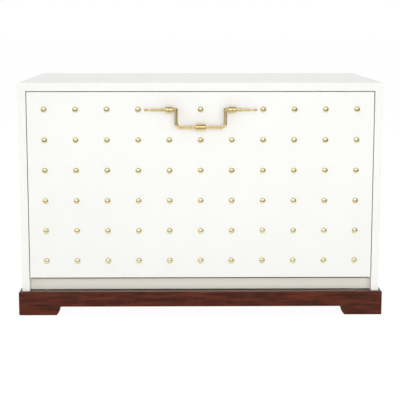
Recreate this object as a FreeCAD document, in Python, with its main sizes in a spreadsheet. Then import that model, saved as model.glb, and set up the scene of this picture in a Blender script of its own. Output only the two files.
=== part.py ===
"""Campaign chest with a studded fall front, a bail handle and a mahogany plinth, as a parametric document.

The frame is in millimetres: the origin lies on the floor under the middle of the chest, +X runs to the right,
+Y to the back and +Z up. The front faces -Y. Every size stands once in the sheet Sizes, every place that
follows from the sizes stands in the sheet Places, and each sub-part is bound to those cells.
"""

import FreeCAD, Part
import math
import os
import re

import Sketcher

Vector = FreeCAD.Vector

SIZES = [
    ("case_width", 914.0, "outside width over the two sides"),
    ("case_depth", 457.0, "front edges of the sides to the back"),
    ("case_height", 535.0, "plinth to the upper surface of the top"),
    ("side_thickness", 19.0, "thickness of each side"),
    ("top_thickness", 21.0, "thickness of the top"),
    ("floor_thickness", 18.0, "thickness of the case floor"),
    ("floor_housing", 8.0, "depth of the housing that takes the floor in each side"),
    ("back_thickness", 6.0, "thickness of the back panel"),
    ("back_lap", 9.0, "how far the back panel laps over the sides and the top"),
    ("rail_height", 34.0, "height of the recessed front rail"),
    ("rail_thickness", 19.0, "thickness of the recessed front rail"),
    ("stop_rail_height", 30.0, "height of the rail that the closed fall meets"),
    ("stop_rail_thickness", 20.0, "thickness of that rail"),
    ("stop_gap", 0.5, "room between the closed fall and the stop rail"),
    ("shelf_height", 239.0, "case floor to the underside of the shelf"),
    ("shelf_thickness", 18.0, "thickness of the shelf"),
    ("shelf_end_gap", 1.0, "room at each end of the shelf"),
    ("shelf_setback", 40.0, "inner face of the closed fall to the front edge of the shelf"),
    ("cleat_height", 22.0, "height of each shelf cleat"),
    ("cleat_thickness", 14.0, "thickness of each shelf cleat"),
    ("cleat_setback", 20.0, "front edge of the shelf to the front end of a cleat"),
    ("cleat_nose", 12.0, "length of the sloped nose of a cleat"),
    ("plinth_height", 61.0, "height of the feet and of the whole plinth"),
    ("plinth_rail_height", 38.0, "height of a plinth board between its feet"),
    ("plinth_thickness", 19.0, "thickness of each plinth board"),
    ("plinth_overhang", 8.5, "how far the plinth stands out at the sides and the front"),
    ("foot_length", 106.0, "length of each foot along its board"),
    ("foot_toe", 10.7, "how far the curved inner end of a foot draws in"),
    ("plinth_arris", 1.5, "rounding of the plinth's outer edges"),
    ("corner_block_leg", 52.0, "legs of the triangular corner blocks"),
    ("corner_block_height", 34.0, "height of the corner blocks"),
    ("fall_thickness", 22.0, "thickness of the fall"),
    ("fall_side_gap", 1.8, "gap at each end of the closed fall"),
    ("fall_top_gap", 2.0, "gap above the closed fall"),
    ("fall_arris", 1.2, "rounding of the edges of the fall's face"),
    ("case_arris", 1.0, "rounding of the outer edges of the top"),
    ("stud_columns", 11, "studs in a full row"),
    ("stud_rows", 6, "rows of studs"),
    ("stud_margin_x", 42.7, "end of the fall to the first column of studs"),
    ("stud_margin_z", 43.75, "edge of the fall to the first row of studs"),
    ("stud_radius", 7.2, "radius of a stud's head at the face"),
    ("stud_rise", 4.8, "height of a stud's head"),
    ("stud_crown_radius", 3.8, "radius of the crown of the head"),
    ("stud_shank", 2.6, "side of a stud's square shank"),
    ("stud_shank_length", 14.0, "length of a stud's shank"),
    ("leaf_thickness", 2.0, "thickness of the hinge leaves"),
    ("fall_leaf_reach", 21.0, "pin to the edge of the leaf under the fall"),
    ("case_leaf_reach", 18.0, "pin to the edge of the leaf on the rail"),
    ("barrel_radius", 3.2, "outer radius of the knuckles"),
    ("hinge_pin_radius", 1.5, "radius of the hinge pin"),
    ("hinge_end_inset", 4.0, "end of the fall to the end of the hinge"),
    ("knuckle_pairs", 3, "knuckles on each leaf"),
    ("knuckle_gap", 0.4, "gap between two knuckles"),
    ("running_clearance", 0.05, "radial room of a pin in its bore"),
    ("moving_gap", 0.4, "room beside a part that moves past"),
    ("open_gap", 0.35, "room between the open fall's leaf and the rail"),
    ("stay_headroom", 14.0, "top of the quadrant stay to the shelf's cleat"),
    ("stay_width", 12.0, "width of the stay's bar"),
    ("stay_thickness", 3.0, "thickness of the stay's bar"),
    ("stay_side_gap", 4.0, "side of the case to the stay"),
    ("stay_plate_width", 20.0, "width of the plate let into the fall"),
    ("stay_plate_height", 46.0, "height of that plate"),
    ("stay_plate_thickness", 2.5, "thickness of that plate"),
    ("stop_lug_length", 5.0, "length of the stop lug at the end of the bar"),
    ("stop_lug_reach", 3.0, "how far the stop lug stands out of the bar"),
    ("guide_length", 7.0, "length of the guide along the stay"),
    ("guide_wall", 3.6, "wall of the guide round its slot"),
    ("guide_ear_height", 13.0, "height of each screw ear"),
    ("guide_ear_thickness", 2.5, "thickness of the screw ears"),
    ("catch_x", 300.0, "middle of the chest to a magnetic catch"),
    ("catch_width", 26.0, "width of a magnetic catch"),
    ("catch_height", 14.0, "height of a magnetic catch"),
    ("catch_depth", 13.0, "depth of a magnetic catch"),
    ("catch_proud", 0.2, "how far a catch stands out of the stop rail"),
    ("strike_width", 30.0, "width of a strike plate"),
    ("strike_height", 17.0, "height of a strike plate"),
    ("strike_thickness", 1.5, "thickness of a strike plate"),
    ("handle_stand_off", 18.0, "face of the fall to the handle's pivot"),
    ("post_collar_radius", 8.1, "radius of the beads of a post's collar"),
    ("post_groove_radius", 6.4, "radius of the groove between the two beads"),
    ("post_collar_length", 19.0, "length of a post's collar"),
    ("post_groove_half", 1.4, "middle of the groove to the edge of each bead"),
    ("post_neck_radius", 4.6, "radius of the neck behind the collar"),
    ("post_shank_radius", 3.0, "radius of the shank through the fall"),
    ("nut_flat_radius", 5.8, "corner radius of the hexagon nut"),
    ("nut_thickness", 4.0, "thickness of the nut"),
    ("spindle_radius", 3.0, "radius of a spindle in its collar"),
    ("spindle_tenon_length", 6.5, "how far a spindle reaches into the arm of the bail"),
    ("spindle_shoulder_radius", 4.6, "radius of the spindle outside the collar"),
    ("spindle_waist_length", 3.5, "length of the taper from the shoulder to the rod"),
    ("spindle_rod_radius", 2.1, "radius of the long rod"),
    ("spindle_length", 43.8, "collar of the post to the finial"),
    ("finial_radius", 3.7, "radius of the finial at its widest"),
    ("finial_length", 9.0, "length of the finial"),
    ("bail_link", 3.5, "arm of the bail to the collar of the post"),
    ("bail_drop", 43.5, "pivot to the middle of the bar"),
    ("bail_radius", 4.2, "middle of the bail's eight-sided bar to a flat"),
    ("bail_head", 4.2, "pivot to the top of each arm"),
    ("bail_bend", 13.0, "bend radius of the bail's two corners"),
    ("grip_length", 26.0, "length of the grip collar"),
    ("grip_radius", 9.0, "radius of the grip's flanges"),
    ("grip_flange_width", 3.0, "width of the grip's end flanges"),
    ("grip_drum_radius", 7.2, "radius of the grip between its flanges"),
]

PLACES = [
    ("half_width", "case_width / 2"),
    ("inner_half", "half_width - side_thickness"),
    ("case_front", "(handle_stand_off + grip_radius - case_depth) / 2"),
    ("case_back", "case_front + case_depth"),
    ("panel_front", "case_back - back_thickness"),
    ("crown", "plinth_height + case_height"),
    ("ceiling_z", "crown - top_thickness"),
    ("floor_z", "plinth_height + floor_thickness"),
    ("rail_top", "plinth_height + rail_height"),
    ("fall_back", "case_front + fall_thickness"),
    ("fall_bottom", "rail_top + leaf_thickness"),
    ("fall_top", "ceiling_z - fall_top_gap"),
    ("fall_half", "inner_half - fall_side_gap"),
    ("hinge_z", "rail_top + leaf_thickness / 2"),
    ("barrel_room", "barrel_radius + moving_gap"),
    ("rail_front", "fall_back + leaf_thickness / 2 + open_gap"),
    ("rail_back", "rail_front + rail_thickness"),
    ("hinge_half", "fall_half - hinge_end_inset"),
    ("knuckle_pitch", "hinge_half / knuckle_pairs"),
    ("stop_front", "fall_back + stop_gap"),
    ("shelf_z", "floor_z + shelf_height"),
    ("shelf_front", "fall_back + shelf_setback"),
    ("cleat_front", "shelf_front + cleat_setback"),
    ("plinth_half", "half_width + plinth_overhang"),
    ("plinth_face", "case_front - plinth_overhang"),
    ("foot_drop", "plinth_height - plinth_rail_height"),
    ("foot_curve", "(foot_toe ^ 2 + foot_drop ^ 2) / (2 * foot_toe)"),
    ("stud_pitch_x", "2 * (fall_half - stud_margin_x) / (stud_columns - 1)"),
    ("stud_pitch_z", "(fall_top - fall_bottom - 2 * stud_margin_z) / (stud_rows - 1)"),
    ("stud_first_x", "stud_margin_x - fall_half"),
    ("stud_top_z", "fall_top - stud_margin_z"),
    ("stay_face", "inner_half - stay_side_gap"),
    ("stay_radius", "shelf_z - cleat_height - stay_headroom - hinge_z - stay_width / 2"),
    ("stay_inside", "stay_radius - stay_width / 2"),
    ("stay_outside", "stay_radius + stay_width / 2"),
    ("guide_front", "fall_back + moving_gap"),
    ("stop_fall", "2 * moving_gap + guide_length"),
    ("stay_tail", "stop_fall + stop_lug_length"),
    ("catch_z", "ceiling_z - stop_rail_height / 2"),
    ("handle_y", "case_front - handle_stand_off"),
    ("handle_z", "stud_top_z"),
    ("collar_near", "stud_pitch_x - post_collar_length / 2"),
    ("collar_far", "stud_pitch_x + post_collar_length / 2"),
    ("arm_x", "collar_near - bail_link - bail_radius"),
    ("spindle_reach", "collar_far + spindle_length"),
]

HOME = {name: "Sizes." for name, value, note in SIZES}
HOME.update({name: "Places." for name, formula in PLACES})

STUD_SIDES = 8
BAIL_SIDES = 8
SIDES = {"left": -1, "right": 1}

doc = FreeCAD.newDocument("campaign_chest")
nodes = []


def bound(expression):
    """The expression with every named value tied to the sheet that holds it."""
    return re.sub(r"[a-z]\w*", lambda word: HOME.get(word.group(0), "") + word.group(0), str(expression))


def tie(item, name, expression):
    """Bind one property of an object to an expression."""
    item.setExpression(name, bound(expression))


def fill_sheets():
    """Write the sizes as plain numbers and the places as formulas, each under its alias."""
    sizes = doc.addObject("Spreadsheet::Sheet", "Sizes")
    for row, (name, value, note) in enumerate(SIZES, 1):
        sizes.set(f"A{row}", name)
        sizes.set(f"B{row}", str(value))
        sizes.set(f"C{row}", note)
        sizes.setAlias(f"B{row}", name)
    doc.recompute()
    places = doc.addObject("Spreadsheet::Sheet", "Places")
    for row, (name, formula) in enumerate(PLACES, 1):
        places.set(f"A{row}", name)
        places.set(f"B{row}", "=" + bound(formula).replace("Places.", ""))
        places.setAlias(f"B{row}", name)
    doc.recompute()
    return sizes


sheet = fill_sheets()


def number(expression):
    """What an expression comes to."""
    return float(sheet.evalExpression(bound(expression)))


def keep(item, label):
    """Name a finished sub-part and list it for export."""
    item.Label = label
    nodes.append(item)
    return item


# Sketches: outlines whose corners are bound to expressions.

# How a point of the model is written as an offset of each origin plane: along its x, its y and its normal.
PLANE_OFFSETS = {
    "XY_Plane": ("{0}", "{1}", "{2}"),
    "XZ_Plane": ("{0}", "{2}", "-({1})"),
    "YZ_Plane": ("{1}", "{2}", "{0}"),
}


def origin_item(body, role):
    """The origin plane or axis of a body that has this role."""
    return next(item for item in body.Origin.OriginFeatures if item.Role == role)


def new_body(name):
    """An empty body."""
    body = doc.addObject("PartDesign::Body", name)
    body.Label = name
    return body


def new_sketch(body, plane, at=(0, 0, 0)):
    """A sketch on one of the body's origin planes, with its own origin moved to the point at."""
    sketch = body.newObject("Sketcher::SketchObject", "Sketch")
    sketch.AttachmentSupport = [(origin_item(body, plane), "")]
    sketch.MapMode = "FlatFace"
    for axis, pattern in zip("xyz", PLANE_OFFSETS[plane]):
        tie(sketch, f"AttachmentOffset.Base.{axis}", pattern.format(*at))
    return sketch


def bind_point(sketch, geometry, corner, x, y):
    """Hold one point of a sketch at x, y from the sketch's origin."""
    for kind, axis_line, expression in (("DistanceX", -2, x), ("DistanceY", -1, y)):
        if str(expression) == "0":
            sketch.addConstraint(Sketcher.Constraint("PointOnObject", geometry, corner, axis_line))
        else:
            held = Sketcher.Constraint(kind, -1, 1, geometry, corner, number(expression))
            index = sketch.addConstraint(held)
            tie(sketch, f"Constraints[{index}]", expression)


def arc_between(start, end, radius):
    """The short arc from start to end, with its centre on the left of the way, or the right if radius < 0."""
    chord = end - start
    reach = math.sqrt(max(radius * radius - chord.Length ** 2 / 4, 0))
    left = Vector(-chord.y, chord.x, 0).normalize()
    centre = (start + end) * 0.5 + left * math.copysign(reach, radius)
    first, last = (start, end) if radius > 0 else (end, start)
    angles = [math.atan2(point.y - centre.y, point.x - centre.x) for point in (first, last)]
    return Part.ArcOfCircle(Part.Circle(centre, Vector(0, 0, 1), abs(radius)), *angles)


def draw_line(sketch, corners, closed=True):
    """A line through corners (x, y); a third value is the signed radius of the arc to the next corner."""
    base = sketch.GeometryCount
    points = [Vector(number(corner[0]), number(corner[1]), 0) for corner in corners]
    spans = len(corners) if closed else len(corners) - 1
    ends = []
    for index in range(spans):
        start, end = points[index], points[(index + 1) % len(points)]
        if len(corners[index]) == 3:
            radius = number(corners[index][2])
            sketch.addGeometry(arc_between(start, end, radius), False)
            ends.append((1, 2) if radius > 0 else (2, 1))
        else:
            sketch.addGeometry(Part.LineSegment(start, end), False)
            ends.append((1, 2))
    joins = range(spans) if closed else range(spans - 1)
    for index in joins:
        after = (index + 1) % spans
        join = Sketcher.Constraint("Coincident", base + index, ends[index][1], base + after, ends[after][0])
        sketch.addConstraint(join)
    for index in range(spans):
        bind_point(sketch, base + index, ends[index][0], corners[index][0], corners[index][1])
        if len(corners[index]) == 3:
            radius = abs(number(corners[index][2]))
            held = sketch.addConstraint(Sketcher.Constraint("Radius", base + index, radius))
            tie(sketch, f"Constraints[{held}]", f"abs({corners[index][2]})")
    if not closed:
        bind_point(sketch, base + spans - 1, ends[-1][1], corners[-1][0], corners[-1][1])


def draw_rectangle(sketch, low, high):
    """A rectangle between two opposite corners."""
    draw_line(sketch, [low, (high[0], low[1]), high, (low[0], high[1])])


def draw_circle(sketch, x, y, radius):
    """A circle round x, y."""
    centre = Vector(number(x), number(y), 0)
    index = sketch.addGeometry(Part.Circle(centre, Vector(0, 0, 1), number(radius)), False)
    bind_point(sketch, index, 3, x, y)
    held = sketch.addConstraint(Sketcher.Constraint("Radius", index, number(radius)))
    tie(sketch, f"Constraints[{held}]", radius)


def draw_polygon(sketch, sides, radius):
    """A regular polygon round the sketch's origin, with a flat side at the right."""
    turns = [(step + 0.5) * 360 / sides for step in range(sides)]
    draw_line(sketch, [(f"({radius}) * cos({turn})", f"({radius}) * sin({turn})") for turn in turns])


# Features: each adds to or cuts the body that holds its sketch.


def pad(body, sketch, length, reverse=False):
    """Stretch a sketch along its normal, or against it."""
    item = body.newObject("PartDesign::Pad", "Pad")
    item.Profile = sketch
    item.Reversed = reverse
    tie(item, "Length", length)
    return item


def pocket(body, sketch, length, along=False):
    """Cut a sketch's outline out of the body, against the sketch's normal or along it."""
    item = body.newObject("PartDesign::Pocket", "Pocket")
    item.Profile = sketch
    item.Reversed = along
    tie(item, "Length", length)
    return item


def turn(body, sketch, axis):
    """Revolve a sketch all the way round one of its own axes."""
    item = body.newObject("PartDesign::Revolution", "Revolution")
    item.Profile = sketch
    item.ReferenceAxis = (sketch, [axis])
    item.Angle = 360
    return item


def repeat(body, features, axis, spacing, count):
    """A row of copies of some features, or of the whole body when features is None."""
    item = body.newObject("PartDesign::LinearPattern", "LinearPattern")
    if features is None:
        item.TransformMode = "Whole shape"
    else:
        item.Originals = features
    item.Direction = (origin_item(body, axis), [""])
    item.Mode = "Spacing"
    tie(item, "Offset", spacing)
    tie(item, "Occurrences", count)
    body.Tip = item
    return item


def block(label, low, high):
    """A plain board between two opposite corners."""
    item = doc.addObject("Part::Box", label)
    for index, (side, axis) in enumerate(zip(("Length", "Width", "Height"), "xyz")):
        tie(item, side, f"({high[index]}) - ({low[index]})")
        tie(item, f"Placement.Base.{axis}", low[index])
    return item


def carve(label, blank, tools):
    """The blank with the exact shapes of other pieces cut out of it."""
    blank.Label = label + "_blank"
    cutters = doc.addObject("Part::Compound", label + "_cutters")
    cutters.Links = tools
    item = doc.addObject("Part::Cut", label)
    item.Base = blank
    item.Tool = cutters
    return item


def edges_where(body, wanted):
    """The newest feature of a body, with its edges whose two ends and middle all satisfy the test wanted."""
    doc.recompute()
    names = []
    for index, edge in enumerate(body.Tip.Shape.Edges, 1):
        ends = [vertex.Point for vertex in edge.Vertexes]
        middle = edge.valueAt((edge.FirstParameter + edge.LastParameter) / 2)
        if all(wanted(point) for point in ends + [middle]):
            names.append(f"Edge{index}")
    return body.Tip, names


def round_edges(body, radius, wanted):
    """Round the edges of a body that satisfy the test wanted."""
    edges = edges_where(body, wanted)
    item = body.newObject("PartDesign::Fillet", "Fillet")
    item.Base = edges
    tie(item, "Radius", radius)
    return item


def slope_sides(body, angle, is_base):
    """Slope the sides of a pad on the XZ plane inwards from the end face that satisfies the test is_base."""
    doc.recompute()
    upright = body.Tip
    faces = {f"Face{index}": face for index, face in enumerate(upright.Shape.Faces, 1)}
    ends = [name for name, face in faces.items() if abs(face.normalAt(0, 0).y) > 0.5]
    item = body.newObject("PartDesign::Draft", "Draft")
    item.Base = (upright, [name for name in faces if name not in ends])
    item.NeutralPlane = (upright, [name for name in ends if is_base(faces[name].CenterOfMass)])
    item.Reversed = True
    tie(item, "Angle", angle)
    return item


def near(value, expression):
    """Whether a coordinate lies at the place that an expression gives."""
    return abs(value - number(expression)) < 0.01


# Case: lacquered boards, mitred at the two upper corners.


def cut_back_rabbet(body):
    """Cut the outline of the back panel into the rear edges."""
    sketch = new_sketch(body, "XZ_Plane", (0, "panel_front", 0))
    draw_rectangle(
        sketch,
        ("-(inner_half + back_lap)", "plinth_height - back_lap"),
        ("inner_half + back_lap", "ceiling_z + back_lap"),
    )
    pocket(body, sketch, "back_thickness")


def make_top():
    """The top, mitred at both ends and rebated for the back panel."""
    body = new_body("case_top")
    sketch = new_sketch(body, "XZ_Plane", (0, "case_back", 0))
    draw_line(
        sketch,
        [
            ("-half_width", "crown"),
            ("-inner_half", "ceiling_z"),
            ("inner_half", "ceiling_z"),
            ("half_width", "crown"),
        ],
    )
    pad(body, sketch, "case_depth")
    cut_back_rabbet(body)
    round_edges(body, "case_arris", lambda point: near(point.z, "crown") and near(point.y, "case_front"))
    return keep(body, "case_top")


def make_side(side):
    """A side: mitred to the top, housed for the floor and rebated for the back panel."""
    sign = SIDES[side]
    body = new_body(f"{side}_side")
    sketch = new_sketch(body, "XZ_Plane", (0, "case_back", 0))
    draw_line(
        sketch,
        [
            (f"{sign} * half_width", "plinth_height"),
            (f"{sign} * half_width", "crown"),
            (f"{sign} * inner_half", "ceiling_z"),
            (f"{sign} * inner_half", "plinth_height"),
        ],
    )
    pad(body, sketch, "case_depth")
    cut_back_rabbet(body)
    housing = new_sketch(body, "XZ_Plane", (0, "rail_back", 0))
    draw_rectangle(
        housing,
        (f"{sign} * (inner_half - floor_housing)", "plinth_height - floor_housing"),
        (f"{sign} * (inner_half + floor_housing)", "floor_z"),
    )
    pocket(body, housing, "panel_front - rail_back")
    return keep(body, f"{side}_side")


def make_floor():
    """The case floor, housed in both sides."""
    low = ("-(inner_half + floor_housing)", "rail_back", "plinth_height")
    high = ("inner_half + floor_housing", "panel_front", "floor_z")
    return keep(block("case_floor", low, high), "case_floor")


def make_back():
    """The back panel, let into the rear edges."""
    low = ("-(inner_half + back_lap)", "panel_front", "plinth_height")
    high = ("inner_half + back_lap", "case_back", "ceiling_z + back_lap")
    return keep(block("back_panel", low, high), "back_panel")


def make_front_rail():
    """The recessed rail under the fall, with a rebate along its upper edge for the hinge barrel."""
    body = new_body("front_rail")
    sketch = new_sketch(body, "YZ_Plane", ("-inner_half", 0, 0))
    draw_line(
        sketch,
        [
            ("rail_front", "plinth_height"),
            ("rail_back", "plinth_height"),
            ("rail_back", "rail_top"),
            ("fall_back + barrel_room", "rail_top"),
            ("fall_back + barrel_room", "hinge_z - barrel_room"),
            ("rail_front", "hinge_z - barrel_room"),
        ],
    )
    pad(body, sketch, "2 * inner_half")
    return keep(body, "front_rail")


def draw_pair(body, front, width, height, depth):
    """Two equal blocks, one at each catch, from the plane front towards the back."""
    sketch = new_sketch(body, "XZ_Plane", (0, front, "catch_z"))
    for sign in SIDES.values():
        low = (f"{sign} * catch_x - {width} / 2", f"-{height} / 2")
        high = (f"{sign} * catch_x + {width} / 2", f"{height} / 2")
        draw_rectangle(sketch, low, high)
    pad(body, sketch, depth, reverse=True)


def make_catches():
    """Two magnets in their cases, let into the stop rail."""
    body = new_body("magnetic_catches")
    draw_pair(body, "stop_front - catch_proud", "catch_width", "catch_height", "catch_depth")
    return keep(body, "magnetic_catches")


def make_stop_rail(catches):
    """The rail under the top that the fall closes against, bored for the catches."""
    low = ("-inner_half", "stop_front", "ceiling_z - stop_rail_height")
    high = ("inner_half", "stop_front + stop_rail_thickness", "ceiling_z")
    return keep(carve("stop_rail", block("stop_rail_board", low, high), [catches]), "stop_rail")


def make_shelf():
    """The shelf, which lies loose on its cleats."""
    low = ("-(inner_half - shelf_end_gap)", "shelf_front", "shelf_z")
    high = ("inner_half - shelf_end_gap", "panel_front - shelf_end_gap", "shelf_z + shelf_thickness")
    return keep(block("shelf", low, high), "shelf")


def make_cleat(side):
    """A cleat screwed to a side, with its front end sloped back."""
    sign = SIDES[side]
    body = new_body(f"{side}_shelf_cleat")
    sketch = new_sketch(body, "YZ_Plane", (f"{sign} * inner_half", 0, 0))
    draw_line(
        sketch,
        [
            ("cleat_front", "shelf_z"),
            ("panel_front", "shelf_z"),
            ("panel_front", "shelf_z - cleat_height"),
            ("cleat_front + cleat_nose", "shelf_z - cleat_height"),
        ],
    )
    pad(body, sketch, "cleat_thickness", reverse=sign > 0)
    return keep(body, f"{side}_shelf_cleat")


# Plinth: four mahogany boards, mitred at the corners and cut away between their feet.


def draw_plinth_board(sketch, start, end):
    """The elevation of a board with a foot at each end, each with a curved inner end."""
    draw_line(
        sketch,
        [
            (start, "plinth_height"),
            (start, "0"),
            (f"{start} + foot_length - foot_toe", "0", "foot_curve"),
            (f"{start} + foot_length", "foot_drop"),
            (f"{end} - foot_length", "foot_drop", "foot_curve"),
            (f"{end} - foot_length + foot_toe", "0"),
            (end, "0"),
            (end, "plinth_height"),
        ],
    )


def cut_mitres(body, corners):
    """Cut triangles off a board's ends, each given by three corners in plan."""
    sketch = new_sketch(body, "XY_Plane")
    for triangle in corners:
        draw_line(sketch, triangle)
    pocket(body, sketch, "plinth_height", along=True)


def make_long_board(label, face, inside):
    """The front or back board, with its outer face at face and its inner face at inside."""
    body = new_body(label)
    sketch = new_sketch(body, "XZ_Plane", (0, face, 0))
    draw_plinth_board(sketch, "-plinth_half", "plinth_half")
    pad(body, sketch, "plinth_thickness", reverse=number(inside) > number(face))
    ends = [
        [
            (f"{sign} * plinth_half", face),
            (f"{sign} * plinth_half", inside),
            (f"{sign} * (plinth_half - plinth_thickness)", inside),
        ]
        for sign in SIDES.values()
    ]
    cut_mitres(body, ends)
    return body


def make_side_board(side):
    """The board under one side, from the front board's mitre to the back board's."""
    sign = SIDES[side]
    body = new_body(f"plinth_{side}")
    face, inside = f"{sign} * plinth_half", f"{sign} * (plinth_half - plinth_thickness)"
    sketch = new_sketch(body, "YZ_Plane", (face, 0, 0))
    draw_plinth_board(sketch, "plinth_face", "case_back")
    pad(body, sketch, "plinth_thickness", reverse=sign > 0)
    ends = [
        [(face, "plinth_face"), (inside, "plinth_face"), (inside, "plinth_face + plinth_thickness")],
        [(face, "case_back"), (inside, "case_back"), (inside, "case_back - plinth_thickness")],
    ]
    cut_mitres(body, ends)
    round_edges(body, "plinth_arris", lambda point: near(point.x, face) and near(point.z, "plinth_height"))
    return keep(body, f"plinth_{side}")


def make_plinth():
    """The four boards and the glue blocks in their corners."""
    front = make_long_board("plinth_front", "plinth_face", "plinth_face + plinth_thickness")
    outer = lambda point: near(point.y, "plinth_face") and near(point.z, "plinth_height")
    round_edges(front, "plinth_arris", outer)
    keep(front, "plinth_front")
    keep(make_long_board("plinth_back", "case_back", "case_back - plinth_thickness"), "plinth_back")
    for side in SIDES:
        make_side_board(side)
    body = new_body("plinth_corner_blocks")
    sketch = new_sketch(body, "XY_Plane", (0, 0, "plinth_height - corner_block_height"))
    for sign in SIDES.values():
        edge = f"{sign} * (plinth_half - plinth_thickness)"
        reach = f"{sign} * (plinth_half - plinth_thickness - corner_block_leg)"
        for wall, leg in (
            ("plinth_face + plinth_thickness", "corner_block_leg"),
            ("case_back - plinth_thickness", "-corner_block_leg"),
        ):
            draw_line(sketch, [(edge, wall), (reach, wall), (edge, f"{wall} + {leg}")])
    pad(body, sketch, "corner_block_height")
    keep(body, "plinth_corner_blocks")


# Hinge: one long brass hinge under the foot of the fall.


def make_leaf(label, first, inner, outer):
    """A leaf from inner to outer, with every second knuckle, the first one starting at first."""
    body = new_body(label)
    plate = new_sketch(body, "YZ_Plane", ("-hinge_half", 0, 0))
    draw_rectangle(plate, (inner, "rail_top"), (outer, "fall_bottom"))
    pad(body, plate, "2 * hinge_half")
    start = (f"{first} + knuckle_gap / 2", "fall_back", "hinge_z")
    knuckle = new_sketch(body, "YZ_Plane", start)
    draw_circle(knuckle, "0", "0", "barrel_radius")
    barrel = pad(body, knuckle, "knuckle_pitch - knuckle_gap")
    tongue = new_sketch(body, "YZ_Plane", start)
    draw_rectangle(tongue, ("0", "-leaf_thickness / 2"), (f"{inner} - fall_back", "leaf_thickness / 2"))
    web = pad(body, tongue, "knuckle_pitch - knuckle_gap")
    repeat(body, [barrel, web], "X_Axis", "2 * knuckle_pitch", "knuckle_pairs")
    bore = new_sketch(body, "YZ_Plane", ("-hinge_half", "fall_back", "hinge_z"))
    draw_circle(bore, "0", "0", "hinge_pin_radius + running_clearance")
    body.Tip = pocket(body, bore, "2 * hinge_half", along=True)
    return keep(body, label)


def make_hinge():
    """Both leaves and the long pin."""
    front_edge, back_edge = "fall_back - fall_leaf_reach", "fall_back + case_leaf_reach"
    make_leaf("fall_hinge_leaf", "-hinge_half", "fall_back - barrel_room", front_edge)
    make_leaf("case_hinge_leaf", "-hinge_half + knuckle_pitch", "fall_back + barrel_room", back_edge)
    pin = new_body("hinge_pin")
    sketch = new_sketch(pin, "YZ_Plane", ("-hinge_half", "fall_back", "hinge_z"))
    draw_circle(sketch, "0", "0", "hinge_pin_radius")
    pad(pin, sketch, "2 * hinge_half")
    keep(pin, "hinge_pin")


# Quadrant stays: brass arcs about the hinge pin, which slide through guides and stop the open fall.


def make_stay(side):
    """A quadrant bar with a stop lug at its end, and the plate that holds it, let into the fall."""
    sign = SIDES[side]
    body = new_body(f"{side}_stay")
    bar = new_sketch(body, "YZ_Plane", (f"{sign} * stay_face", "fall_back", "hinge_z"))
    draw_line(
        bar,
        [
            ("0", "stay_inside"),
            ("0", "stay_outside", "-stay_outside"),
            ("sqrt(stay_outside ^ 2 - stay_tail ^ 2)", "-stay_tail"),
            ("sqrt(stay_inside ^ 2 - stay_tail ^ 2)", "-stay_tail", "stay_inside"),
        ],
    )
    pad(body, bar, "stay_thickness", reverse=sign > 0)
    plate = new_sketch(body, "YZ_Plane", (f"{sign} * stay_face", "fall_back", "hinge_z"))
    draw_rectangle(
        plate,
        ("-stay_plate_thickness", "stay_radius - stay_plate_height / 2"),
        ("0", "stay_radius + stay_plate_height / 2"),
    )
    pad(body, plate, "stay_plate_width", reverse=sign > 0)
    lug = new_sketch(body, "YZ_Plane", (f"{sign} * stay_face", "fall_back", "hinge_z"))
    draw_rectangle(
        lug,
        ("stay_inside", "-stay_tail"),
        ("sqrt(stay_outside ^ 2 - stay_tail ^ 2)", "-stop_fall"),
    )
    pad(body, lug, "stay_thickness + stop_lug_reach", reverse=sign > 0)
    return keep(body, f"{side}_stay")


def make_guide(side):
    """A staple on the side of the case, with a slot for the stay and an ear above and below."""
    sign = SIDES[side]
    body = new_body(f"{side}_stay_guide")
    sketch = new_sketch(body, "XZ_Plane", (0, "guide_front", "hinge_z"))
    wall = f"{sign} * inner_half"
    ear = f"{sign} * (inner_half - guide_ear_thickness)"
    crest = f"{sign} * (stay_face - stay_thickness - moving_gap - guide_wall)"
    slot_low, slot_high = "stay_inside - moving_gap", "stay_outside + moving_gap"
    draw_line(
        sketch,
        [
            (wall, f"{slot_low} - guide_wall - guide_ear_height"),
            (wall, f"{slot_high} + guide_wall + guide_ear_height"),
            (ear, f"{slot_high} + guide_wall + guide_ear_height"),
            (ear, f"{slot_high} + guide_wall"),
            (crest, f"{slot_high} + guide_wall"),
            (crest, f"{slot_low} - guide_wall"),
            (ear, f"{slot_low} - guide_wall"),
            (ear, f"{slot_low} - guide_wall - guide_ear_height"),
        ],
    )
    draw_rectangle(
        sketch,
        (f"{sign} * (stay_face - stay_thickness - moving_gap)", slot_low),
        (f"{sign} * (stay_face + moving_gap)", slot_high),
    )
    pad(body, sketch, "guide_length", reverse=True)
    return keep(body, f"{side}_stay_guide")


# Handle: a swinging bail between two posts, with long spindles that run out past them.


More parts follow.
